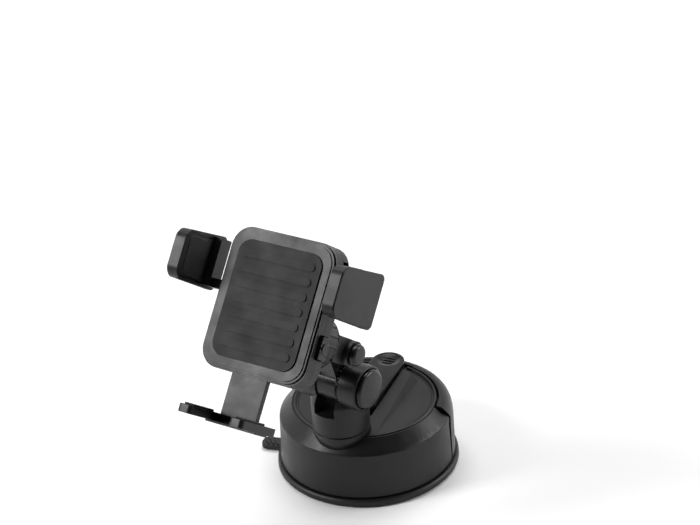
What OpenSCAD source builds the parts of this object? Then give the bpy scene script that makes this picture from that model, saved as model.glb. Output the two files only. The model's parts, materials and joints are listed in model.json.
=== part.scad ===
// Phone mount for a car: suction base, swivelling neck, two tilt hinges, ball joint and clamping cradle.
// Millimetres, +Z up. Origin: centre of the suction pad's underside, on the surface it stands on.
// +X runs along the hinge pins, -Y is the side that the cradle leans out over.

/* [Base] */
// Outer radius of the suction pad
pad_r = 41.5; // [40:0.5:44]
// Outer radius of the housing wall
housing_r = 39.9; // [39:0.1:40.5]
// Height of the deck on top of the base
deck_z = 31; // [30:0.5:33]
// Radius of the deck
deck_r = 32.5; // [32:0.1:33]
// Turn of the base about the vertical, against the hinge pins
base_turn = 12.2; // [0:0.1:20]
// Direction of the pull tab, against the base's rear
tab_angle = 97; // [90:1:130]
// How far the tip of the locking lever reaches behind the centre
lever_reach = 35.9; // [33:0.1:37]
// Width of the locking lever
lever_w = 15.4; // [12:0.1:16]
// How far the lever lifts the middle of the pad
stem_travel = 2; // [1.5:0.1:2]

/* [Neck] */
// Distance of the neck's axis in front of the base's centre
neck_offset = 26.6; // [24:0.1:28]
// Radius of the neck
neck_r = 12.9; // [12:0.1:14]
// Height of the seam between collar and neck
seam_z = 34.3; // [33.5:0.1:36]
// Height of the lower tilt hinge
lower_z = 57; // [55:0.5:60]
// Radius of the hinge boss
boss_r = 10.4; // [10:0.1:11]
// Half width of the hinge boss
boss_half = 15.8; // [15:0.1:17]

/* [Arm] */
// Distance between the two tilt hinges
link_len = 21.2; // [20:0.1:26]
// Forward lean of the link at rest
link_lean = 16.5; // [0:0.5:30]
// Radius of the upper hinge barrel
barrel_r = 5.8; // [5:0.1:6.5]
// Half width of the upper hinge barrel
barrel_half = 14.4; // [13:0.1:16]
// Radius of the ball
ball_r = 8.5; // [8:0.1:9]
// Distance from the upper hinge to the ball's centre
ball_dist = 21; // [21:0.5:24]

/* [Cradle] */
// How far the cradle leans back from upright at rest
cradle_lean = 37.9; // [20:0.1:60]
// Turn of the cradle about its own normal at rest
cradle_turn = 2.2; // [-10:0.1:10]
// Distance from the upper hinge to the face that the phone rests against
cradle_dist = 55.5; // [54:0.1:60]
// Height of the jaws' centre line above the ball joint's axis
jaw_rise = 19.4; // [16:0.1:22]
// Half of the gap between the jaw pads at rest
half_gap = 37.75; // [36:0.05:40]
// Half width of the cradle's case
case_half = 26.5; // [24:0.5:27]
// Top of the case above the jaws' centre line
case_top = 19; // [17:0.5:22]
// Bottom of the case below the jaws' centre line
case_bottom = 42; // [38:0.5:46]
// Top of the foot's prongs below the jaws' centre line
foot_drop = 59.9; // [58:0.1:62]

/* [Hidden] */
$fn = 96;
fine = 0.01;
black = "#1c1c1e";
dark = "#2a2a2c";
rubber = "#141415";
steel = "#b8babd";
nylon = "#e4e1d6";
// Heights and radii inside the base
wall = 2.1;
inner_r = 36.7;
skirt_z = 4.4;
floor_z = 17;
floor_t = 2;
washer_t = 1;
pin_z = 29.5;
cam_low = pin_z - floor_z - floor_t - washer_t - 0.45;
cam_front = cam_low - stem_travel;
lever_top = 35.2;
lever_t = 3.1;
lever_tip_r = lever_w / 2;
lever_tip = lever_reach - lever_tip_r;
slot_half = lever_w / 2 + 0.8;
stem_r = 3;
head_half = 3.1;
plate_z = 3.45;
plate_r = 16;
// Hinge widths
tongue_half = 4.95;
fork_half = 5.25;
slot_floor = 44.6;
eye_r = 9.6;
bolt_r = 2.5;
bore_r = 2.56;
// Cradle layers, measured behind the face that the phone rests against
front_y = 1.2;
split_y = 7.3;
back_y = 14.5;
case_wall = 1.8;
rack_y0 = 8.3;
rack_y1 = 12.1;
// Pivot of the pawl that holds the jaws
pawl_x = 12.5;
pawl_z = -24;
// Rack and pinion
gear_module = 1.2;
gear_teeth = 10;
pitch_r = gear_module * gear_teeth / 2;
pitch = PI * gear_module;
backlash = 0.28;
rack_tail = 11;
rack_back = 5.1;
pressure = 22;
jaw_outer = half_gap + 4.55;
jaw_front = -16.5;
jaw_back = 16.5;

// ---------------------------------------------------------------- frames
module base_frame() {
    rotate([0, 0, base_turn]) children();
}

neck_x = neck_offset * sin(base_turn);
neck_y = -neck_offset * cos(base_turn);

module neck_frame() {
    translate([neck_x, neck_y, 0]) children();
}

module link_frame() {
    neck_frame() translate([0, 0, lower_z]) rotate([link_lean, 0, 0]) children();
}

module arm_frame() {
    link_frame() translate([0, 0, link_len])
        rotate([90 - cradle_lean - link_lean, 0, 0]) children();
}

// Arm frame, turned with the cradle
module stud_frame() {
    arm_frame() rotate([0, 0, cradle_turn]) children();
}

module cradle_frame() {
    stud_frame() translate([0, 0, cradle_dist]) rotate([-90, 0, 0])
        translate([0, 0, jaw_rise]) children();
}

// ---------------------------------------------------------------- shared shapes
// Cylinder along X from x0 to x1
module xcyl(r, x0, x1, sides = 96) {
    translate([x0, 0, 0]) rotate([0, 90, 0]) cylinder(r = r, h = x1 - x0, $fn = sides);
}

// Cylinder along Y from y0 to y1
module ycyl(r, y0, y1, sides = 96) {
    translate([0, y0, 0]) rotate([-90, 0, 0]) cylinder(r = r, h = y1 - y0, $fn = sides);
}

// Box from one corner to the other
module block(a, b) {
    translate(a) cube(b - a);
}

// Rounded rectangle about the origin, built from true arcs
module round_rect(w, h, r) {
    square([w - 2 * r, h], center = true);
    square([w, h - 2 * r], center = true);
    for (sx = [-1, 1], sy = [-1, 1])
        translate([sx * (w / 2 - r), sy * (h / 2 - r)]) circle(r = r, $fn = 48);
}

// Plate with a rounded outline in the XZ plane, from y0 to y1, centred on height zc
module y_plate(w, h, r, y0, y1, zc = 0) {
    translate([0, y1, zc]) rotate([90, 0, 0])
        linear_extrude(height = y1 - y0) round_rect(w, h, r);
}

// Helical spring along Z as a stack of rings joined by a thin sleeve
module ring_spring(r, wire, h, turns) {
    for (i = [0 : turns - 1])
        translate([0, 0, wire + i * (h - 2 * wire) / (turns - 1)])
            rotate_extrude($fn = 32) translate([r, 0]) circle(r = wire, $fn = 16);
    difference() {
        cylinder(r = r + wire * 0.4, h = h, $fn = 32);
        translate([0, 0, -1]) cylinder(r = r - wire * 0.4, h = h + 2, $fn = 32);
    }
}

// Pan-head screw along -Z, its head's underside at the origin
module screw(shank_r, head_r, head_h, length) {
    difference() {
        union() {
            cylinder(r = head_r, h = head_h, $fn = 32);
            translate([0, 0, -length]) cylinder(r = shank_r, h = length + fine, $fn = 24);
        }
        for (a = [0, 90])
            rotate([0, 0, a]) translate([0, 0, head_h])
                cube([head_r * 1.2, head_r * 0.25, head_h], center = true);
    }
}

// ---------------------------------------------------------------- base
// Side view (Y, Z) of the space taken by the rear shell, which is widest on the shoulder
function shell_edge(gap) = [[4.6 + gap, 0], [4.6 + gap, 22], [5.1 + gap, 24], [5.7 + gap, 26],
    [5 + gap, 27.2], [4 + gap, 28.6], [3.4 + gap, 30], [3.1 + gap, 32], [3.1 + gap, 40]];

module rear_region(gap) {
    rotate([90, 0, 90]) linear_extrude(height = 120, center = true)
        polygon(concat(shell_edge(gap), [[60, 40], [60, 0]]));
}

module neck_hole(extra) {
    translate([0, -neck_offset, 20]) cylinder(r = neck_r - 2.3 + extra, h = 6.5);
    translate([0, -neck_offset, 26.5 - fine])
        cylinder(r1 = neck_r - 2.3 + extra, r2 = neck_r + extra, h = 5);
    translate([0, -neck_offset, 31.4]) cylinder(r = neck_r + extra, h = 10);
}

module suction_pad() {
    color(rubber) base_frame() union() {
        // the middle is drawn up off the ground, which holds the vacuum
        rotate_extrude($fn = 128) polygon([[0, 2], [plate_r - 1, 2], [30, 0], [pad_r - 0.8, 0],
            [pad_r, 0.9], [pad_r - 0.1, 2.9], [pad_r - 0.7, 3.6], [38.4, 3.6], [37.9, skirt_z - 0.6],
            [33.5, skirt_z - 0.6], [31, 2], [plate_r + 2, plate_z - 0.05], [0, plate_z - 0.05]]);
        rotate([0, 0, tab_angle]) translate([0, pad_r - 3, 0]) pull_tab();
    }
}

// Ribbed tab that breaks the vacuum by hand, reaching outwards along +Y of its own frame
module pull_tab() {
    difference() {
        block([-3.6, 0, 0.7], [3.6, 12.4, 2.7]);
        for (side = [-1, 1]) translate([side * 3.6, 12.4, 0]) difference() {
            block([-2.5, -2.5, -1], [2.5, 2.5, 5]);
            translate([side * -2.5, -2.5, -2]) cylinder(r = 2.5, h = 8, $fn = 48);
        }
    }
    for (i = [0 : 2])
        translate([0, 5.6 + i * 2.3, 2.7]) rotate([0, 0, 32]) cube([6.2, 0.8, 1.2], center = true);
}

// Stiff plate bonded into the pad, with the stem that the lever pulls
module pad_plate() {
    color(nylon) base_frame() difference() {
        union() {
            cylinder_between(plate_r, plate_z, plate_z + 1.75);
            cylinder_between(5, plate_z + 1, plate_z + 4);
            cylinder_between(stem_r, plate_z + 1, pin_z - 3);
            block([-head_half, -3.6, pin_z - 4], [head_half, 3.6, pin_z]);
            translate([0, 0, pin_z]) xcyl(3.6, -head_half, head_half);
        }
        translate([0, 0, pin_z]) xcyl(1.5, -10, 10, 32);
    }
}

module cylinder_between(r, z0, z1) {
    translate([0, 0, z0]) cylinder(r = r, h = z1 - z0);
}

module stem_spring() {
    color(steel) base_frame() translate([0, 0, plate_z + 1.8])
        ring_spring(6.2, 0.6, floor_z - plate_z - 1.85, 6);
}

module base_housing() {
    color(black) base_frame() difference() {
        union() {
            // cup with the ledge that carries the deck
            rotate_extrude($fn = 128) polygon([[inner_r - wall, skirt_z - 0.6], [inner_r, skirt_z - 0.6],
                [inner_r, 26], [deck_r + 0.5, 28.9], [deck_r + 0.5, 28.2], [29, 28.2],
                [29, 26.2], [inner_r - wall, 26.2]]);
            // floor that the cam presses on, with the stem's guide
            translate([0, 0, floor_z]) cylinder(r = inner_r - wall + 0.2, h = floor_t);
            cylinder_between(5, floor_z - 4, floor_z + 0.5);
            // outer wall and bevelled shoulder of the front
            difference() {
                rotate_extrude($fn = 128) polygon([[inner_r - 0.2, skirt_z], [housing_r - 0.1, skirt_z],
                    [housing_r, skirt_z + 0.5], [39.2, 25.2], [39, 26], [38.5, 26.5],
                    [deck_r + 0.8, 31.5], [deck_r + 0.3, 31.5], [deck_r + 0.3, 28],
                    [inner_r - 0.2, 25.5]]);
                rear_region(-1);
            }
            for (a = [35, 145, 270]) rotate([0, 0, a]) translate([25, 0, floor_z]) cylinder(r = 3, h = 11);
            for (a = [40, 140]) rotate([0, 0, a]) translate([31, 0, 10]) cylinder(r = 3.4, h = 7.2);
        }
        translate([0, 0, floor_z - 8]) cylinder(r = stem_r + 0.08, h = 20);
        for (a = [35, 145, 270]) rotate([0, 0, a]) translate([25, 0, 10]) cylinder(r = 1.3, h = 30);
        for (a = [40, 140]) rotate([0, 0, a]) translate([31, 0, 13]) rotate([0, 90, 0])
            cylinder(r = 1.35, h = 20, center = true, $fn = 32);
        neck_hole(0.05);
        translate([0, -neck_offset, floor_z - 1]) cylinder(r = 7, h = 8);
    }
}

module rear_shell() {
    color(black) base_frame() difference() {
        intersection() {
            rotate_extrude($fn = 128) polygon([[inner_r + 0.3, skirt_z], [housing_r, skirt_z],
                [housing_r + 0.1, skirt_z + 0.5], [39.8, 22], [39.6, 25], [39.2, 27.2],
                [38.5, 29.1], [37.4, 30.6], [36.1, 31.5], [34.6, 31.9], [33.7, 31.8], [33.45, 31.5],
                [33.45, 29.8], [35.2, 29], [inner_r + 0.3, 27.2]]);
            rear_region(0);
        }
        for (a = [40, 140]) rotate([0, 0, a]) translate([34, 0, 13]) rotate([0, 90, 0])
            cylinder(r = 1.2, h = 8.5, center = true, $fn = 32);
    }
}

// Outline of one cheek beside the lever, seen from above
module cheek_plan(side) {
    polygon([[side * slot_half, -20], [side * 15.7, -25.5], [side * 16.6, 1], [side * 17.7, 21.6],
        [side * 13.5, 23.7], [side * slot_half, 25.6]]);
}

module cheek(side) {
    difference() {
        translate([0, 0, deck_z - 1]) linear_extrude(height = 5) cheek_plan(side);
        // top that rises to the rear
        translate([0, -20, deck_z + 0.2]) rotate([3.1, 0, 0]) block([-30, -20, 0], [30, 60, 12]);
        // outer facet
        mirror([side < 0 ? 1 : 0, 0, 0]) translate([15.7, -25, deck_z]) rotate([0, 0, -2.2])
            rotate([0, 34, 0]) block([-30, -10, 0], [20, 60, 12]);
    }
}

module top_deck() {
    color(black) base_frame() difference() {
        union() {
            rotate_extrude($fn = 128) polygon([[0, 28.4], [deck_r - 0.4, 28.4], [deck_r, 28.8],
                [deck_r, 31.5], [deck_r - 0.4, 31.9], [deck_r - 1, 31.8], [deck_r - 1.5, 30.8],
                [deck_r - 2.2, 30.8], [deck_r - 2.5, deck_z], [0, deck_z]]);
            for (side = [-1, 1]) cheek(side);
            for (a = [35, 145]) rotate([0, 0, a]) translate([25, 0, 28.15]) cylinder(r = 2.9, h = 1);
        }
        // slot for the cam
        block([-slot_half, -12, 20], [slot_half, 11, 50]);
        // trough under the tongue
        block([-slot_half, 10, deck_z - 0.3], [slot_half, 40, 50]);
        for (a = [35, 145]) rotate([0, 0, a]) translate([25, 0, 20]) cylinder(r = 1.05, h = 9.8);
        neck_hole(0.15);
    }
}

module cam_washer() {
    color(steel) base_frame() difference() {
        translate([0, 0, floor_z + floor_t]) cylinder(r = 11, h = washer_t);
        translate([0, 0, floor_z]) cylinder(r = stem_r + 1, h = 8);
    }
}

// Radius of the cam at angle a, measured from straight down towards the front
function cam_radius(a) = a < 0 ? cam_low - 0.035 * -a
    : a < 90 ? cam_low - stem_travel * a / 90
    : cam_front - (cam_front - (lever_top - pin_z)) * (a - 90) / 90;

module cam_side(x0, x1) {
    translate([0, 0, pin_z]) rotate([90, 0, 90]) translate([0, 0, x0])
        linear_extrude(height = x1 - x0) polygon(concat(
            [for (a = [-60 : 10 : 180]) [-cam_radius(a) * sin(a), -cam_radius(a) * cos(a)]],
            [[10, lever_top - pin_z], [10, lever_top - pin_z - lever_t]]));
}

module locking_lever() {
    color(dark) base_frame() difference() {
        union() {
            cam_side(-lever_w / 2, -head_half - 0.3);
            cam_side(head_half + 0.3, lever_w / 2);
            translate([0, 0, lever_top - lever_t]) {
                block([-lever_w / 2, 5, 0], [lever_w / 2, lever_tip, lever_t]);
                translate([0, lever_tip, 0]) cylinder(r = lever_tip_r, h = lever_t);
            }
        }
        translate([0, 0, pin_z]) xcyl(1.55, -20, 20, 32);
        // finger dish near the tip
        translate([0, lever_tip + 1, lever_top + 21.2]) sphere(r = 22, $fn = 96);
    }
}

module lever_pin() {
    color(steel) base_frame() translate([0, 0, pin_z])
        xcyl(1.5, -lever_w / 2 + 0.4, lever_w / 2 - 0.4, 32);
}

module deck_screws() {
    color(steel) base_frame() for (a = [35, 145])
        rotate([0, 0, a]) translate([25, 0, floor_z]) rotate([180, 0, 0]) screw(1.05, 2.4, 1.5, 12);
}

module shell_screws() {
    color(steel) base_frame() for (a = [40, 140])
        rotate([0, 0, a]) translate([27.6, 0, 13]) rotate([0, -90, 0]) screw(1.2, 2.4, 1.5, 9.6);
}

// ---------------------------------------------------------------- neck
module neck_collar() {
    color(black) neck_frame() difference() {
        rotate_extrude($fn = 96) polygon([[0, 24.2], [neck_r - 2.4, 24.2], [neck_r - 2.4, 26.5],
            [neck_r - 1.2, 29.2], [neck_r - 0.25, 31.5], [neck_r - 0.02, seam_z - 0.5],
            [neck_r - 0.25, seam_z - 0.12], [0, seam_z - 0.12]]);
        translate([0, 0, 27.2]) cylinder(r = 6.06, h = 20);
        translate([0, 0, 10]) cylinder(r = 2.35, h = 30);
    }
}

module swivel_washer() {
    color(steel) neck_frame() difference() {
        translate([0, 0, 23.2]) cylinder(r = 5, h = 0.95);
        translate([0, 0, 20]) cylinder(r = 2.4, h = 10);
    }
}

module swivel_screw() {
    color(steel) neck_frame() translate([0, 0, 23]) rotate([180, 0, 0]) screw(2, 3.8, 2.4, 16);
}

module neck_post() {
    color(black) neck_frame() difference() {
        union() {
            rotate_extrude($fn = 96) polygon([[0, seam_z + 0.12], [neck_r - 0.25, seam_z + 0.12],
                [neck_r, seam_z + 0.5], [neck_r, 48.5], [boss_r, 53.5], [0, 53.5]]);
            translate([0, 0, 27.4]) cylinder(r = 6, h = 8);
            translate([0, 0, lower_z]) {
                xcyl(boss_r, -boss_half + 0.5, boss_half - 0.5);
                translate([boss_half - 0.5, 0, 0]) rotate([0, 90, 0])
                    cylinder(r1 = boss_r, r2 = boss_r - 0.5, h = 0.5);
                translate([-boss_half, 0, 0]) rotate([0, 90, 0])
                    cylinder(r1 = boss_r - 0.5, r2 = boss_r, h = 0.5 + fine);
            }
        }
        block([-fork_half, -30, slot_floor], [fork_half, 30, lower_z + 30]);
        translate([0, 0, 20]) cylinder(r = 2, h = 19);
        translate([0, 0, lower_z]) {
            xcyl(bore_r, -30, 30, 48);
            xcyl(9.45, boss_half - 1.5, boss_half + 5);
            xcyl(4.6, boss_half - 5, boss_half + 5, 48);
            xcyl(7.4, -boss_half - 1, -boss_half + 1.4);
            translate([-boss_half + 4.6, 0, 0]) rotate([0, -90, 0]) cylinder(r = 4.65, h = 10, $fn = 6);
            // seat of the toothed ring
            xcyl(boss_r + 0.2, fork_half - 1, fork_half + ring_w + 0.02);
        }
    }
}

module lower_bolt() {
    color(steel) link_axis() {
        xcyl(4.4, boss_half - 4.8, boss_half - 2.2, 48);
        xcyl(bolt_r, -boss_half + 1.8, boss_half - 4.7, 48);
    }
}

// Lower hinge axis, with X along the bolt
module link_axis() {
    neck_frame() translate([0, 0, lower_z]) children();
}

module lower_nut() {
    color(steel) link_axis() difference() {
        translate([-boss_half + 4.5, 0, 0]) rotate([0, -90, 0]) cylinder(r = 4.5, h = 3, $fn = 6);
        xcyl(bore_r, -30, 30, 48);
    }
}

// Domed cover that closes the bolt's recess
module lower_cap() {
    color(dark) link_axis() translate([boss_half - 1.4, 0, 0]) rotate([0, 90, 0])
        rotate_extrude($fn = 96) polygon(concat([[0, 0], [8.7, 0], [8.7, 1.6], [9.1, 1.8]],
            [for (a = [10 : 10 : 90]) [7.4 + 1.7 * cos(a), 2 + 1.5 * sin(a)]],
            [[4, 3.85], [0, 3.95]]));
}

// Ring with teeth round its edge, seated in the right ear beside the link
ring_w = 1.3;
module toothed_ring() {
    color(dark) link_axis() difference() {
        union() {
            xcyl(boss_r - 0.5, fork_half + 0.02, fork_half + ring_w);
            for (i = [0 : 35]) rotate([i * 10, 0, 0])
                block([fork_half + 0.02, -0.45, 8], [fork_half + ring_w - 0.2, 0.45, boss_r + 0.05]);
        }
        xcyl(4, 0, 20, 48);
    }
}

// ---------------------------------------------------------------- link
module link_arm() {
    color(dark) link_frame() difference() {
        union() {
            xcyl(eye_r, -tongue_half, tongue_half);
            translate([0, 0, link_len]) xcyl(barrel_r, -tongue_half, tongue_half);
            block([-tongue_half, -barrel_r, 0], [tongue_half, barrel_r, link_len]);
        }
        xcyl(bore_r, -20, 20, 48);
        translate([0, 0, link_len]) xcyl(bore_r, -20, 20, 48);
    }
}

// ---------------------------------------------------------------- arm
module socket_arm() {
    color(black) arm_frame() difference() {
        union() {
            for (s = [0, 1]) mirror([s, 0, 0]) {
                xcyl(barrel_r, fork_half, barrel_half);
                block([fork_half, -barrel_r, 0], [barrel_half - 2.5, barrel_r, 11]);
            }
            block([-barrel_half + 2.5, -barrel_r, 6.9], [barrel_half - 2.5, barrel_r, 12]);
            rotate_extrude($fn = 96) polygon([[0, 8], [7, 8], [12.2, 10.6], [12.2, 12.8],
                [11.4, 13], [11.4, ball_dist + 0.6], [0, ball_dist + 0.6]]);
        }
        // round clearance for the link's upper eye
        xcyl(barrel_r + 0.6, -fork_half, fork_half);
        block([-fork_half, -20, -10], [fork_half, 20, 0]);
        xcyl(bore_r, -30, 30, 48);
        xcyl(4.3, barrel_half - 2.6, barrel_half + 5, 48);
        translate([-barrel_half + 3, 0, 0]) rotate([0, -90, 0]) cylinder(r = 4.45, h = 8, $fn = 6);
        translate([0, 0, ball_dist]) sphere(r = ball_r + 1.2);
    }
}

module upper_bolt() {
    color(steel) arm_frame() {
        xcyl(4.1, barrel_half - 2.5, barrel_half - 0.6, 48);
        xcyl(bolt_r, -barrel_half + 0.4, barrel_half - 2.4, 48);
    }
}

module upper_nut() {
    color(steel) arm_frame() difference() {
        translate([-barrel_half + 2.9, 0, 0]) rotate([0, -90, 0]) cylinder(r = 4.3, h = 2.6, $fn = 6);
        xcyl(bore_r, -30, 30, 48);
    }
}

module upper_cap() {
    color(dark) arm_frame() translate([barrel_half + 0.1, 0, 0]) rotate([0, 90, 0])
        rotate_extrude($fn = 64) polygon(concat([[0, -0.6], [4.1, -0.6], [4.1, 0.3], [4.9, 0.5]],
            [for (a = [0 : 15 : 90]) [3.3 + 1.6 * cos(a), 1.2 + 1.8 * sin(a)]],
            [[0, 3.15]]));
}

// Split liner that grips the ball
module ball_seat() {
    color(nylon) arm_frame() difference() {
        translate([0, 0, ball_dist]) sphere(r = ball_r + 1.1);
        translate([0, 0, ball_dist]) sphere(r = ball_r + 0.1);
        translate([0, 0, ball_dist + 0.6]) cylinder(r = 20, h = 20);
        for (a = [0, 60, 120]) rotate([0, 0, a]) translate([0, 0, ball_dist])
            cube([40, 0.8, 12], center = true);
        translate([0, 0, 0]) cylinder(r = 3, h = ball_dist);
    }
}

module ring_nut() {
    color(black) arm_frame() difference() {
        union() {
            rotate_extrude($fn = 96) polygon([[0, 13.2], [12.6, 13.2], [13.1, 13.8], [13.1, 23.4],
                [12.2, 24.9], [10.4, 25.8], [0, 25.8]]);
            for (i = [0 : 17]) rotate([0, 0, i * 20]) translate([13, 0, 14])
                cylinder(r = 0.7, h = 9, $fn = 24);
        }
        translate([0, 0, 10]) cylinder(r = 11.46, h = ball_dist + 0.8 - 10);
        translate([0, 0, ball_dist]) sphere(r = ball_r + 0.12);
        translate([0, 0, ball_dist + 2]) cylinder(r1 = 6.2, r2 = 10, h = 6);
        translate([0, 0, ball_dist]) cylinder(r = ball_r + 1.2, h = 1);
    }
}

module swivel_ball() {
    color(steel) arm_frame() difference() {
        translate([0, 0, ball_dist]) sphere(r = ball_r);
        translate([0, 0, ball_dist - 1]) cylinder(r = 2.56, h = 20, $fn = 48);
    }
}

// Angles and ring radius of the three screws that hold the stud to the case
stud_angles = [90, 210, 330];
stud_ring = 7.2;
module ball_stud() {
    color(steel) stud_frame() difference() {
        union() {
            translate([0, 0, ball_dist - 0.5]) cylinder(r = 2.5, h = 12, $fn = 48);
            translate([0, 0, ball_dist + ball_r + 0.3])
                cylinder(r = 4.2, h = cradle_dist - back_y - ball_dist - ball_r - 0.3);
            translate([0, 0, cradle_dist - back_y - 2.6]) cylinder(r = 11, h = 2.6);
        }
        for (a = stud_angles) rotate([0, 0, a])
            translate([stud_ring, 0, cradle_dist - back_y - 5]) cylinder(r = 1.3, h = 10, $fn = 32);
    }
}

module stud_screws() {
    color(steel) stud_frame() for (a = stud_angles)
        rotate([0, 0, a]) translate([stud_ring, 0, cradle_dist - back_y - 2.65])
            rotate([180, 0, 0]) screw(1.05, 2, 1.2, 5.2);
}

// ---------------------------------------------------------------- cradle
case_h = case_top + case_bottom;
case_mid = (case_top - case_bottom) / 2;
stud_z = -jaw_rise;
pinion_z = 1.5;
screw_spots = [[-21, 14], [21, 14], [-21, -36], [21, -36]];

// Windows in the case: jaw arms, release button and foot slide
module case_windows() {
    block([0, rack_y0 - 0.35, pinion_z + pitch_r - 1.9], [60, rack_y1 + 0.35, pinion_z + pitch_r + 6.4]);
    block([-60, rack_y0 - 0.35, pinion_z - pitch_r - 6.4], [0, rack_y1 + 0.35, pinion_z - pitch_r + 1.9]);
    block([0, 5.2, -28.3], [60, 11.3, -17.7]);
    block([-9.4, 3.1, -60], [9.4, 6.4, -20]);
}

module rear_cover() {
    color(black) cradle_frame() difference() {
        union() {
            difference() {
                union() {
                    y_plate(2 * case_half, case_h, 9, split_y + 0.05, back_y - 2, case_mid);
                    y_plate(2 * case_half - 2, case_h - 2, 8.5, split_y + 1, back_y - 0.9, case_mid);
                    y_plate(2 * case_half - 4, case_h - 4, 8, split_y + 2, back_y, case_mid);
                }
                y_plate(2 * (case_half - case_wall), case_h - 2 * case_wall, 7.2,
                    split_y - 1, back_y - case_wall, case_mid);
            }
            for (p = screw_spots) translate([p[0], 0, p[1]]) ycyl(2.5, split_y + 0.05, back_y - 1, 32);
            for (a = stud_angles) translate([stud_ring * cos(a), 0, stud_z + stud_ring * sin(a)])
                ycyl(2.1, 9.2, back_y - 1, 32);
            translate([0, 0, pinion_z]) ycyl(3, 12.3, back_y - 1, 48);
            translate([pawl_x, 0, pawl_z]) ycyl(2.6, 12.3, back_y - 1, 32);
            // stop for the pawl's spring
            block([3, 9, pawl_z + 3.2], [4.9, back_y - 1, pawl_z + 6.8]);
        }
        case_windows();
        for (p = screw_spots) translate([p[0], 0, p[1]]) {
            ycyl(1.3, 0, 30, 32);
            ycyl(2.3, back_y - 1.5, 30, 32);
        }
        for (a = stud_angles) translate([stud_ring * cos(a), 0, stud_z + stud_ring * sin(a)])
            ycyl(1.1, 9.6, 30, 32);
        translate([0, 0, pinion_z]) ycyl(1.55, 11, back_y - 1, 32);
        translate([pawl_x, 0, pawl_z]) ycyl(1.25, 11, back_y - 1, 32);
    }
}

module front_cover() {
    color(black) cradle_frame() difference() {
        union() {
            difference() {
                union() {
                    y_plate(2 * case_half, case_h, 9, front_y + 1.4, split_y - 0.05, case_mid);
                    y_plate(2 * case_half - 1.6, case_h - 1.6, 8.4, front_y + 0.5, split_y - 1, case_mid);
                    y_plate(2 * case_half - 3.4, case_h - 3.4, 8, front_y, split_y - 2, case_mid);
                }
                y_plate(2 * (case_half - case_wall), case_h - 2 * case_wall, 7.2,
                    front_y + case_wall, split_y + 1, case_mid);
                // shallow seat of the rubber pad
                y_plate(42.4, 50.4, 6, front_y - 1, front_y + 0.8, case_mid);
            }
            for (p = screw_spots) translate([p[0], 0, p[1]]) ycyl(2.6, front_y + 1, split_y - 0.05, 32);
            // rails that guide the foot slide
            for (s = [-1, 1]) block([s * 10.6 - 1, front_y + 1, -39], [s * 10.6 + 1, split_y - 0.2, -19.5]);
            translate([0, 0, pinion_z]) ycyl(3, front_y + 1, 6.8, 48);
        }
        case_windows();
        for (p = screw_spots) translate([p[0], 0, p[1]]) ycyl(1.05, front_y + 1.6, 30, 32);
        translate([0, 0, pinion_z]) ycyl(1.55, front_y + 1.6, 10, 32);
    }
}

// Ribbed rubber pad that the phone's back rests on
module back_pad() {
    color(rubber) cradle_frame() {
        y_plate(42, 50, 5.8, 0.5, front_y + 0.7, case_mid);
        for (i = [-3 : 3]) y_plate(36, 3.4, 1.6, 0, 0.6, case_mid + i * 6.4);
    }
}

module cover_screws() {
    color(steel) cradle_frame() for (p = screw_spots)
        translate([p[0], back_y - 1.45, p[1]]) rotate([-90, 0, 0]) screw(1.05, 2.1, 1.2, 9);
}

// Involute tooth outline
base_r = pitch_r * cos(pressure);
tip_r = pitch_r + 0.9;
root_r = pitch_r - 1.35;
function inv(a) = tan(a) * 180 / PI - a;
function inv_at(r) = r <= base_r ? 0 : inv(acos(base_r / r));
half_tooth = 90 / gear_teeth - backlash * 90 / PI / pitch_r;
function flank(r) = half_tooth + inv(pressure) - inv_at(r);
function on_circle(r, a) = [r * cos(a), r * sin(a)];
flank_steps = [root_r, base_r, pitch_r - 0.2, pitch_r + 0.3, tip_r];

module gear_outline() {
    circle(r = root_r + 0.05, $fn = 48);
    for (i = [0 : gear_teeth - 1]) rotate(i * 360 / gear_teeth)
        polygon(concat([[0, 0]], [for (r = flank_steps) on_circle(r, -flank(r))],
            [for (i = [len(flank_steps) - 1 : -1 : 0]) on_circle(flank_steps[i], flank(flank_steps[i]))]));
}

module pinion() {
    color(nylon) cradle_frame() translate([0, rack_y1 - 0.1, pinion_z]) rotate([90, 0, 0])
        difference() {
            linear_extrude(height = rack_y1 - rack_y0 - 0.2) rotate(90) gear_outline();
            translate([0, 0, -1]) cylinder(r = 1.56, h = 10, $fn = 32);
        }
}

module pinion_pin() {
    color(steel) cradle_frame() translate([0, 0, pinion_z]) ycyl(1.5, front_y + 1.8, back_y - 1.1, 32);
}

// Rack with its teeth pointing down, its pitch line on z = 0 and a tooth gap at x = 0
module rack_outline(x0, x1) {
    thick = pitch / 2 - backlash;
    slope = tan(pressure);
    difference() {
        translate([x0, -0.9]) square([x1 - x0, rack_back + 0.9]);
        for (i = [ceil((x0 - 1) / pitch) : floor(14 / pitch)])
            translate([i * pitch, 0]) polygon([
                [-(pitch - thick) / 2 - slope * 1, -1], [(pitch - thick) / 2 + slope * 1, -1],
                [(pitch - thick) / 2 - slope * 1.25, 1.25], [-(pitch - thick) / 2 + slope * 1.25, 1.25]]);
        translate([14.5, -2]) square([40, 3]);
    }
}

// Side outline (Y, Z) of a jaw plate: wide corners at the front, deeper at the back
jaw_low = -10.8;
jaw_high_front = 10.7;
jaw_high_back = 13;
module jaw_outline(shrink = 0) {
    hull() for (c = [[jaw_front + 5, jaw_low + 5, 5], [jaw_front + 5, jaw_high_front - 5, 5],
            [jaw_back - 2.5, jaw_low + 2.5, 2.5], [jaw_back - 2.5, jaw_high_back - 2.5, 2.5]])
        translate([c[0], c[1]]) circle(r = c[2] - shrink, $fn = 48);
}

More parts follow.
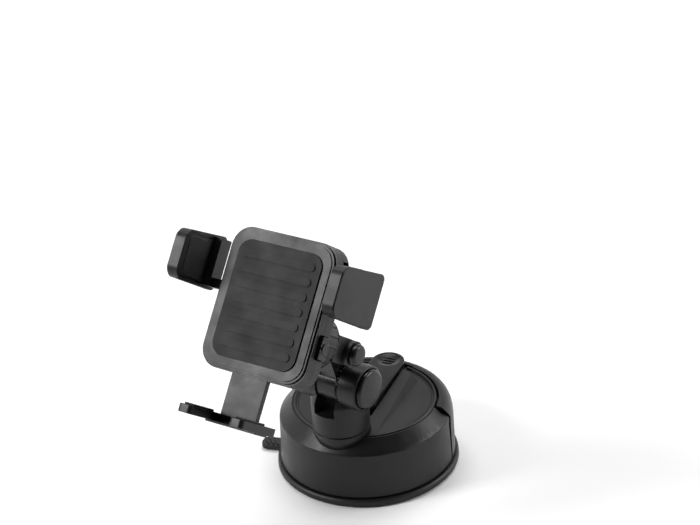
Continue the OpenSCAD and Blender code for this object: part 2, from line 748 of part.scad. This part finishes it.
module jaw_plate() {
    difference() {
        rotate([90, 0, 90]) {
            translate([0, 0, half_gap + 0.9])
                linear_extrude(height = jaw_outer - half_gap - 1.4) jaw_outline();
            translate([0, 0, half_gap + 2]) linear_extrude(height = jaw_outer - half_gap - 2)
                jaw_outline(0.5);
        }
        // seat of the rubber pad
        block([half_gap - 1, -12, -8.6], [half_gap + 2, 5, 9.6]);
    }
    // lip over the phone's edge
    intersection() {
        rotate([90, 0, 90]) translate([0, 0, half_gap - 1.1]) linear_extrude(height = 3) jaw_outline();
        block([half_gap - 1.2, jaw_front, -20], [half_gap + 2, -13.2, 20]);
    }
    // root that carries the arm
    block([half_gap - 3, 6.6, -9.6], [half_gap + 2, 14.2, 11.6]);
}

module jaw(flip) {
    cradle_frame() mirror([flip, 0, 0]) {
        jaw_plate();
        translate([0, rack_y1, pinion_z]) mirror([0, 0, flip]) translate([0, 0, pitch_r])
            rotate([90, 0, 0]) linear_extrude(height = rack_y1 - rack_y0)
                difference() {
                    rack_outline(-rack_tail, half_gap - 2.5);
                    if (flip == 1) for (i = [0 : 9]) translate([-10.5 + i * 1.6, rack_back])
                        polygon([[0, 0.1], [1.5, 0.1], [0, -0.8]]);
                }
    }
}

module right_jaw() {
    color(black) jaw(0);
}

module left_jaw() {
    color(black) jaw(1);
}

module jaw_pad(flip) {
    color(rubber) cradle_frame() mirror([flip, 0, 0]) {
        block([half_gap + 0.4, -11.9, -8.5], [half_gap + 1.95, 4.9, 9.5]);
        rotate([90, 0, 90]) translate([-3.5, 0.5, half_gap]) linear_extrude(height = 0.5)
            round_rect(15, 16.4, 3);
    }
}

module right_jaw_pad() {
    jaw_pad(0);
}

module left_jaw_pad() {
    jaw_pad(1);
}

// Spring that opens the jaws, between the end of the right rack and the case wall
module jaw_spring() {
    color(steel) cradle_frame() translate([-rack_tail - 0.1, 10.2, pinion_z + pitch_r + 2])
        rotate([0, -90, 0]) ring_spring(1.3, 0.3, case_half - case_wall - rack_tail - 0.7, 6);
}

// Pawl behind the left rack's notches; the release button pushes its neck and swings it clear
module pawl() {
    color(nylon) cradle_frame() difference() {
        translate([pawl_x, 11.9, pawl_z]) rotate([90, 0, 0]) linear_extrude(height = 3.4) {
            circle(r = 2.8, $fn = 48);
            polygon([[-1.6, 0], [1.6, 0], [1.6, 9.6], [-6.2, 13.2], [-7.5, 14.1], [-7.5, 12.2],
                [-1.6, 7.6]]);
        }
        translate([pawl_x, 0, pawl_z]) ycyl(1.26, 0, 20, 32);
    }
}

module pawl_pin() {
    color(steel) cradle_frame() translate([pawl_x, 0, pawl_z]) ycyl(1.2, 7, back_y - 1.1, 32);
}

module pawl_spring() {
    color(steel) cradle_frame() translate([pawl_x - 1.8, 10.2, pawl_z + 5]) rotate([0, -90, 0])
        ring_spring(1.1, 0.3, 5.6, 5);
}

module release_button() {
    color(dark) cradle_frame() difference() {
        union() {
            block([22.5, 5.6, -27.8], [28.4, 10.9, -18.2]);
            translate([28.4, 8.25, -23]) rotate([0, 90, 0]) cylinder(r1 = 2.6, r2 = 2.2, h = 0.5);
            block([pawl_x + 2, 8.7, pawl_z + 5.4], [22.6, 10.9, pawl_z + 7.6]);
            block([22.5, 5.6, -29.6], [24, 10.9, -16.4]);
        }
        for (i = [-1 : 1]) translate([28.5, 8.25, -23 + i * 2.8]) cube([0.7, 7, 0.9], center = true);
    }
}

// Sliding bracket with the two prongs under the phone
prong_x = 13;
prong_w = 7;
prong_front = -17.3;
prong_back = 8;
prong_t = 3.6;
module foot_bracket() {
    color(black) cradle_frame() {
        block([-9, 3.45, -foot_drop - prong_t], [9, 6.05, -16]);
        // cross web behind the phone, with a thin lip in front of it
        block([-prong_x, 1.3, -foot_drop - prong_t - 0.8], [prong_x, prong_back, -foot_drop]);
        block([-prong_x, -0.4, -foot_drop - prong_t - 0.8], [prong_x, 2, -foot_drop - prong_t + 0.4]);
        for (s = [-1, 1]) translate([s * prong_x, 0, -foot_drop - prong_t]) {
            block([-prong_w / 2, prong_front + 2, 0], [prong_w / 2, prong_back, prong_t]);
            block([-prong_w / 2 + 2, prong_front, 0], [prong_w / 2 - 2, 0, prong_t]);
            for (t = [-1, 1]) translate([t * (prong_w / 2 - 2), prong_front + 2, 0])
                cylinder(r = 2, h = prong_t, $fn = 48);
        }
    }
}

module foot_pads() {
    color(rubber) cradle_frame() for (s = [-1, 1])
        block([s * prong_x - 2.6, prong_front + 3, -foot_drop], [s * prong_x + 2.6, 0.8, -foot_drop + 0.9]);
}

suction_pad();
pad_plate();
stem_spring();
base_housing();
rear_shell();
top_deck();
cam_washer();
locking_lever();
lever_pin();
deck_screws();
shell_screws();
neck_collar();
swivel_washer();
swivel_screw();
neck_post();
lower_bolt();
lower_nut();
lower_cap();
toothed_ring();
link_arm();
socket_arm();
upper_bolt();
upper_nut();
upper_cap();
ball_seat();
ring_nut();
swivel_ball();
ball_stud();
stud_screws();
rear_cover();
front_cover();
back_pad();
cover_screws();
pinion();
pinion_pin();
right_jaw();
left_jaw();
right_jaw_pad();
left_jaw_pad();
jaw_spring();
pawl();
pawl_pin();
pawl_spring();
release_button();
foot_bracket();
foot_pads();
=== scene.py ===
"""Looks of the car phone mount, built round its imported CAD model. Metres, in the CAD model's own frame."""

import json
import math

import bmesh
import bpy
from mathutils import Matrix, Vector

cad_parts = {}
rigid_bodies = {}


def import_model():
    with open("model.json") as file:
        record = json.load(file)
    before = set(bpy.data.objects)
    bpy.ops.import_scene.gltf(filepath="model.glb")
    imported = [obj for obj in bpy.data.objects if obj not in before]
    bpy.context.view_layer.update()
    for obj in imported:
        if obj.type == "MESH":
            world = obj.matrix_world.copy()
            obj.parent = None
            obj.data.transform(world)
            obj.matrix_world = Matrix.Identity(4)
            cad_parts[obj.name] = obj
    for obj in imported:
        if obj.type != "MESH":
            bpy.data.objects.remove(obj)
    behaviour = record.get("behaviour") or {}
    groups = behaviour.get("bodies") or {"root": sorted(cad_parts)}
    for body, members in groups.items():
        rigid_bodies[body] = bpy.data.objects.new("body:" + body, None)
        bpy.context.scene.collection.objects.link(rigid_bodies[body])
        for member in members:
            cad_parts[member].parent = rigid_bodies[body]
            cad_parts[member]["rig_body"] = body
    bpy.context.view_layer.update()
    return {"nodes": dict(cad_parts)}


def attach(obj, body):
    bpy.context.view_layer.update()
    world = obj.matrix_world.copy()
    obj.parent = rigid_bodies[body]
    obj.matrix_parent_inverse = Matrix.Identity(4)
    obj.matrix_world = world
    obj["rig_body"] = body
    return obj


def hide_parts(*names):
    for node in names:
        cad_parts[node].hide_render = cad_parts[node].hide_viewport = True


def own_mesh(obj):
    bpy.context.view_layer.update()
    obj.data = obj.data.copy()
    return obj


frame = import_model()
MM = 0.001
BASE_TURN = math.radians(12.2)  # of the base about the vertical, against the hinge pins


# ---------------------------------------------------------------- camera, light and floor
def make_camera():
    """Long lens from the front right, rolled by four degrees."""
    azimuth, elevation, roll = math.radians(36.95), math.radians(28.65), math.radians(-3.89)
    distance = 1.0311
    forward = -Vector((math.sin(azimuth) * math.cos(elevation),
                       -math.cos(azimuth) * math.cos(elevation), math.sin(elevation)))
    level = Vector((math.cos(azimuth), math.sin(azimuth), 0))
    upright = level.cross(forward)
    right = math.cos(roll) * level + math.sin(roll) * upright
    up = math.cos(roll) * upright - math.sin(roll) * level
    aim = level * -0.00252 + Vector((0, 0, 0.10191))
    data = bpy.data.cameras.new("camera")
    data.sensor_width = 36
    data.lens = 120.9
    data.clip_start, data.clip_end = 0.05, 20
    camera = bpy.data.objects.new("camera", data)
    turn = Matrix((right, up, -forward)).transposed()
    camera.matrix_world = Matrix.Translation(aim - forward * distance) @ turn.to_4x4()
    bpy.context.scene.collection.objects.link(camera)
    bpy.context.scene.camera = camera


def make_light(name, place, aim, size, power):
    """Rectangular area light; metres and watts."""
    data = bpy.data.lights.new(name, "AREA")
    data.shape = "RECTANGLE"
    data.size, data.size_y = size
    data.energy = power
    light = bpy.data.objects.new(name, data)
    light.location = place
    light.rotation_euler = (Vector(aim) - Vector(place)).to_track_quat("-Z", "Y").to_euler()
    bpy.context.scene.collection.objects.link(light)


def make_stage():
    """Pale floor, a key from the left, weak lights from the right and a wide one overhead."""
    mesh = bpy.data.meshes.new("floor")
    half = 6.0
    mesh.from_pydata([(-half, -half, 0), (half, -half, 0), (half, half, 0), (-half, half, 0)], [],
                     [(0, 1, 2, 3)])
    floor = bpy.data.objects.new("floor", mesh)
    floor.location.z = -0.0002
    bpy.context.scene.collection.objects.link(floor)
    surface = bpy.data.materials.new("floor_paint")
    surface.use_nodes = True
    shader = surface.node_tree.nodes["Principled BSDF"]
    shader.inputs["Base Color"].default_value = (0.92, 0.92, 0.92, 1)
    shader.inputs["Roughness"].default_value = 0.9
    mesh.materials.append(surface)
    make_world()
    centre = (0, -0.02, 0.08)
    make_light("key_left", (-0.66, -0.82, 0.78), centre, (0.32, 0.48), 10)
    make_light("fill_right", (1.15, 0.2, 0.42), centre, (0.4, 0.7), 1.6)
    make_light("rim_right", (0.8, 0.7, 0.5), centre, (0.5, 0.3), 5)
    make_light("overhead", (-0.3, 0.5, 1.6), centre, (1.5, 1.0), 22)
    bpy.context.scene.view_settings.view_transform = "Standard"


def make_world():
    """A studio with a pale cove behind the object, and dark above and behind the camera."""
    world = bpy.data.worlds.new("studio")
    world.use_nodes = True
    tree = world.node_tree
    background = tree.nodes["Background"]
    place = tree.nodes.new("ShaderNodeTexCoord").outputs["Generated"]

    def facing(direction, near, far):
        dot = tree.nodes.new("ShaderNodeVectorMath")
        dot.operation = "DOT_PRODUCT"
        dot.inputs[1].default_value = direction
        tree.links.new(place, dot.inputs[0])
        fade = tree.nodes.new("ShaderNodeMapRange")
        fade.interpolation_type = "SMOOTHSTEP"
        fade.inputs["From Min"].default_value = near
        fade.inputs["From Max"].default_value = far
        tree.links.new(dot.outputs["Value"], fade.inputs["Value"])
        return fade.outputs["Result"]

    low = facing((0, 0, -1), -0.6, -0.42)
    behind = facing((-0.6, 0.8, 0), -0.5, 0.35)
    both = tree.nodes.new("ShaderNodeMath")
    both.operation = "MULTIPLY"
    tree.links.new(low, both.inputs[0])
    tree.links.new(behind, both.inputs[1])
    level = tree.nodes.new("ShaderNodeMapRange")
    level.inputs["To Min"].default_value = 0.03
    level.inputs["To Max"].default_value = 1.15
    tree.links.new(both.outputs["Value"], level.inputs["Value"])
    background.inputs["Color"].default_value = (1, 1, 1, 1)
    tree.links.new(level.outputs["Result"], background.inputs["Strength"])
    bpy.context.scene.world = world


# ---------------------------------------------------------------- materials
class Nodes:
    """Short names for the nodes that a material is built from."""

    def __init__(self, name):
        self.material = bpy.data.materials.new(name)
        self.material.use_nodes = True
        self.tree = self.material.node_tree
        self.shader = self.tree.nodes["Principled BSDF"]
        self.place = self.tree.nodes.new("ShaderNodeTexCoord").outputs["Object"]

    def link(self, source, target):
        self.tree.links.new(source, target)

    def noise(self, scale, detail=2.0, rough=0.5, stretch=None):
        node = self.tree.nodes.new("ShaderNodeTexNoise")
        node.inputs["Scale"].default_value = scale
        node.inputs["Detail"].default_value = detail
        node.inputs["Roughness"].default_value = rough
        source = self.place
        if stretch:
            mapping = self.tree.nodes.new("ShaderNodeMapping")
            mapping.inputs["Scale"].default_value = stretch
            self.link(self.place, mapping.inputs["Vector"])
            source = mapping.outputs["Vector"]
        self.link(source, node.inputs["Vector"])
        return node.outputs["Fac"]

    def ramp(self, source, stops):
        node = self.tree.nodes.new("ShaderNodeValToRGB")
        elements = node.color_ramp.elements
        while len(elements) < len(stops):
            elements.new(0.5)
        for element, (at, value) in zip(elements, stops):
            element.position = at
            colour = (value, value, value) if isinstance(value, (int, float)) else value
            element.color = (*colour, 1)
        self.link(source, node.inputs["Fac"])
        return node.outputs["Color"]

    def mix(self, factor, a, b):
        """Colour a where the factor's socket is black, colour b where it is white."""
        node = self.tree.nodes.new("ShaderNodeMix")
        node.data_type = "RGBA"
        self.link(factor, node.inputs[0])
        for value, socket in ((a, node.inputs[6]), (b, node.inputs[7])):
            if isinstance(value, bpy.types.NodeSocket):
                self.link(value, socket)
            else:
                socket.default_value = (*value, 1)
        return node.outputs[2]

    def edges(self, low, high):
        """White on convex edges, black elsewhere."""
        geometry = self.tree.nodes.new("ShaderNodeNewGeometry")
        return self.ramp(geometry.outputs["Pointiness"], [(low, 0.0), (high, 1.0)])

    def bump(self, height, distance, strength=1.0, below=None):
        node = self.tree.nodes.new("ShaderNodeBump")
        node.inputs["Distance"].default_value = distance
        node.inputs["Strength"].default_value = strength
        self.link(height, node.inputs["Height"])
        if below is not None:
            self.link(below, node.inputs["Normal"])
        return node.outputs["Normal"]

    def finish(self, colour, roughness, normal, metallic=0.0, specular=0.33):
        self.link(colour, self.shader.inputs["Base Color"])
        self.link(roughness, self.shader.inputs["Roughness"])
        self.link(normal, self.shader.inputs["Normal"])
        self.shader.inputs["Metallic"].default_value = metallic
        self.shader.inputs["Specular IOR Level"].default_value = specular
        return self.material


def grey(value, warm=0.0):
    return (value * (1 + warm), value, value * (1 - warm))


def moulded_plastic(name, shade, rough, grain=0.00002, grain_scale=2600, edge_wear_and_highlight=0.5):
    """Black moulded plastic: spark-eroded grain, faint flow marks, convex edges painted lighter as rubbed
    wear and as a painted highlight, and a little dust.
    """
    n = Nodes(name)
    cloud = n.noise(38, 4, 0.6)
    tint = n.ramp(cloud, [(0.3, grey(shade * 0.86)), (0.7, grey(shade * 1.16))])
    # Convex edges lightened: partly rubbed wear, partly a painted highlight along the edges.
    rubbed_and_highlit = n.mix(n.edges(0.52, 0.62), tint, grey(shade * (1 + 2.2 * edge_wear_and_highlight)))
    specks = n.ramp(n.noise(900, 1), [(0.7, 0.0), (0.78, 1.0)])
    dusty = n.mix(specks, rubbed_and_highlit, grey(shade * 1.7, 0.03))
    patches = n.ramp(n.noise(75, 3, 0.55), [(0.3, rough - 0.06), (0.7, rough + 0.07)])
    fine = n.noise(grain_scale, 2, 0.6)
    flow = n.noise(55, 2, 0.5, (1, 1, 0.35))
    normal = n.bump(flow, 0.00012, 0.25)
    normal = n.bump(fine, grain, 1.0, normal)
    return n.finish(dusty, patches, normal)


def soft_rubber(name, shade, rough=0.62, grain=0.00003):
    """Moulded elastomer: dull, finely pitted, with a light bloom."""
    n = Nodes(name)
    bloom = n.ramp(n.noise(60, 5, 0.65), [(0.3, grey(shade * 0.9)), (0.72, grey(shade * 1.25, 0.02))])
    lint = n.ramp(n.noise(1100, 1), [(0.73, 0.0), (0.8, 1.0)])
    colour = n.mix(lint, bloom, grey(shade * 2.4, 0.04))
    patches = n.ramp(n.noise(110, 3), [(0.3, rough - 0.04), (0.7, rough + 0.06)])
    normal = n.bump(n.noise(1900, 3, 0.6), grain)
    return n.finish(colour, patches, normal, specular=0.4)


def plated_steel(name, shade, stretch):
    """Zinc-plated steel with drawn marks along one direction and small stains."""
    n = Nodes(name)
    stain = n.ramp(n.noise(210, 4, 0.6), [(0.35, grey(shade * 0.8, 0.03)), (0.65, grey(shade, 0.0))])
    marks = n.noise(800, 2, 0.6, stretch)
    patches = n.ramp(marks, [(0.3, 0.24), (0.7, 0.4)])
    normal = n.bump(marks, 0.000012)
    return n.finish(stain, patches, normal, metallic=1.0)


def natural_nylon(name):
    n = Nodes(name)
    colour = n.ramp(n.noise(90, 4), [(0.3, (0.58, 0.56, 0.49)), (0.7, (0.68, 0.66, 0.6))])
    patches = n.ramp(n.noise(160, 3), [(0.3, 0.38), (0.7, 0.52)])
    normal = n.bump(n.noise(1500, 2), 0.00002)
    return n.finish(colour, patches, normal)


PLASTIC = moulded_plastic("black_plastic", 0.005, 0.4)
SATIN = moulded_plastic("satin_plastic", 0.0055, 0.27, 0.000012, 3200)
GLOSSY = moulded_plastic("glossy_plastic", 0.0055, 0.26, 0.000006, 3600, 0.3)
RUBBER = soft_rubber("pad_rubber", 0.0055)
SKIRT = soft_rubber("skirt_rubber", 0.006, 0.5, 0.000015)
STEEL = plated_steel("plated_steel", 0.55, (0.15, 1, 1))
NYLON = natural_nylon("natural_nylon")


# ---------------------------------------------------------------- moulded shapes
def finished(node, material, radius, segments=3):
    """A copy of a CAD node with its edges rounded as a mould leaves them; radius in millimetres."""
    source = frame["nodes"][node]
    mesh = source.data.copy()
    mesh.materials.clear()
    mesh.materials.append(material)
    work = bmesh.new()
    work.from_mesh(mesh)
    bmesh.ops.remove_doubles(work, verts=work.verts, dist=2e-6)
    bmesh.ops.dissolve_limit(work, angle_limit=math.radians(0.6), verts=work.verts,
                             edges=work.edges, use_dissolve_boundaries=False)
    bmesh.ops.recalc_face_normals(work, faces=work.faces)
    work.to_mesh(mesh)
    work.free()
    for face in mesh.polygons:
        face.use_smooth = True
    piece = bpy.data.objects.new(node + "_shell", mesh)
    bpy.context.scene.collection.objects.link(piece)
    if radius:
        bevel = piece.modifiers.new("mould_edge", "BEVEL")
        bevel.width = radius * MM
        bevel.segments = segments
        bevel.limit_method = "ANGLE"
        bevel.angle_limit = math.radians(32)
        bevel.use_clamp_overlap = True
        bevel.harden_normals = False
        bevel.miter_outer = "MITER_ARC"
    smooth = piece.modifiers.new("normals", "WEIGHTED_NORMAL")
    smooth.keep_sharp = False
    smooth.weight = 80
    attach(piece, source["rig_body"])
    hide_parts(node)
    return piece


def link_piece(name, work, material, body):
    """A new piece in the row frame from a bmesh in millimetres."""
    mesh = bpy.data.meshes.new(name)
    bmesh.ops.scale(work, vec=(MM, MM, MM), verts=work.verts)
    bmesh.ops.recalc_face_normals(work, faces=work.faces)
    work.to_mesh(mesh)
    work.free()
    for face in mesh.polygons:
        face.use_smooth = True
    mesh.materials.append(material)
    piece = bpy.data.objects.new(name, mesh)
    bpy.context.scene.collection.objects.link(piece)
    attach(piece, body)
    return piece


def lathe(name, profile, material, body, steps=144):
    """A closed (radius, height) profile, turned about the base's axis."""
    work = bmesh.new()
    rings = []
    for radius, height in profile:
        if radius == 0:
            rings.append([work.verts.new((0, 0, height))] * steps)
            continue
        rings.append([work.verts.new((radius * math.cos(2 * math.pi * i / steps),
                                      radius * math.sin(2 * math.pi * i / steps), height))
                      for i in range(steps)])
    for a, b in zip(rings, rings[1:] + rings[:1]):
        for i in range(steps):
            j = (i + 1) % steps
            corners = list(dict.fromkeys((a[i], a[j], b[j], b[i])))
            if len(corners) > 2:
                work.faces.new(corners)
    return link_piece(name, work, material, body)


def suction_pad():
    """The pad's rim with its tab stays put, with its middle cut away, and its thin middle is turned as a
    separate piece.
    """
    rim = finished("suction_pad", SKIRT, 0.22)
    rim.name = "pad_rim"
    cutter = lathe("pad_cutter", [(0, -2), (30.2, -2), (30.2, 9), (0, 9)], SKIRT, "base", 128)
    cut = rim.modifiers.new("open_middle", "BOOLEAN")
    cut.operation = "DIFFERENCE"
    cut.object = cutter
    rim.modifiers.move(len(rim.modifiers) - 1, 0)
    bpy.context.view_layer.update()
    evaluated = rim.evaluated_get(bpy.context.evaluated_depsgraph_get())
    rim.data = bpy.data.meshes.new_from_object(evaluated)
    rim.modifiers.clear()
    bpy.data.objects.remove(cutter)
    under = [(0, 2.0), (14.6, 2.0), (15.4, 1.93), (18, 1.62), (20, 1.3), (22, 1.1), (24, 0.78), (26, 0.56),
             (28, 0.24), (30.15, 0.04)]
    over = [(30.15, 2.08), (26, 2.52), (22, 2.95), (18, 3.36), (0, 3.4)]
    middle = lathe("pad_membrane", under + over, SKIRT, "base")
    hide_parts("suction_pad")
    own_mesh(middle)


def pressed_spring(node):
    """A spring of the cradle, whose fixed end is the one on the left, as a steel copy with its own mesh."""
    piece = finished(node, STEEL, 0)
    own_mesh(piece)


def lever_grip():
    """Three low bars in the finger dish."""
    turn = Matrix.Rotation(BASE_TURN, 4, "Z")
    for index in (-1, 0, 1):
        work = bmesh.new()
        length = 6.4 - abs(index) * 1.2
        place = Vector((0, 29.2 + index * 2.1, 34.62 + 0.02 * abs(index)))
        bmesh.ops.create_cube(work, size=1, matrix=turn @ Matrix.Translation(place)
                              @ Matrix.Diagonal((length, 0.9, 0.7, 1)))
        bmesh.ops.bevel(work, geom=work.edges[:], offset=0.24, segments=3, profile=0.5, affect="EDGES")
        link_piece("lever_grip_" + str(index + 2), work, SATIN, "lever")


def paint(names, material):
    """One material on CAD nodes that keep their own shape."""
    for name in names:
        slots = frame["nodes"][name].data.materials
        slots.clear()
        slots.append(material)


# ---------------------------------------------------------------- the whole scene
make_camera()
make_stage()
for name, radius in {"base_housing": 0.3, "rear_shell": 0.35, "top_deck": 0.3, "neck_collar": 0.25,
                     "neck_post": 0.35, "socket_arm": 0.35, "ring_nut": 0.3, "rear_cover": 0.3,
                     "front_cover": 0.3, "right_jaw": 0.45, "left_jaw": 0.45,
                     "foot_bracket": 0.4}.items():
    finished(name, PLASTIC, radius)
for name, radius in {"locking_lever": 0.4, "link_arm": 0.35, "toothed_ring": 0.1,
                     "release_button": 0.25}.items():
    finished(name, SATIN, radius)
for name in ("lower_cap", "upper_cap"):
    finished(name, GLOSSY, 0.2)
for name, radius in {"back_pad": 0.4, "right_jaw_pad": 0.4, "left_jaw_pad": 0.4,
                     "foot_pads": 0.4}.items():
    finished(name, RUBBER, radius, segments=4)
suction_pad()
lever_grip()
pressed_spring("jaw_spring")
pressed_spring("pawl_spring")
paint(("stem_spring", "cam_washer", "lever_pin", "deck_screws", "shell_screws", "swivel_washer",
       "swivel_screw", "lower_bolt", "lower_nut", "upper_bolt", "upper_nut", "stud_screws",
       "cover_screws", "pinion_pin", "pawl_pin"), STEEL)
paint(("pad_plate", "ball_seat", "pinion", "pawl"), NYLON)
paint(("swivel_ball", "ball_stud"), GLOSSY)
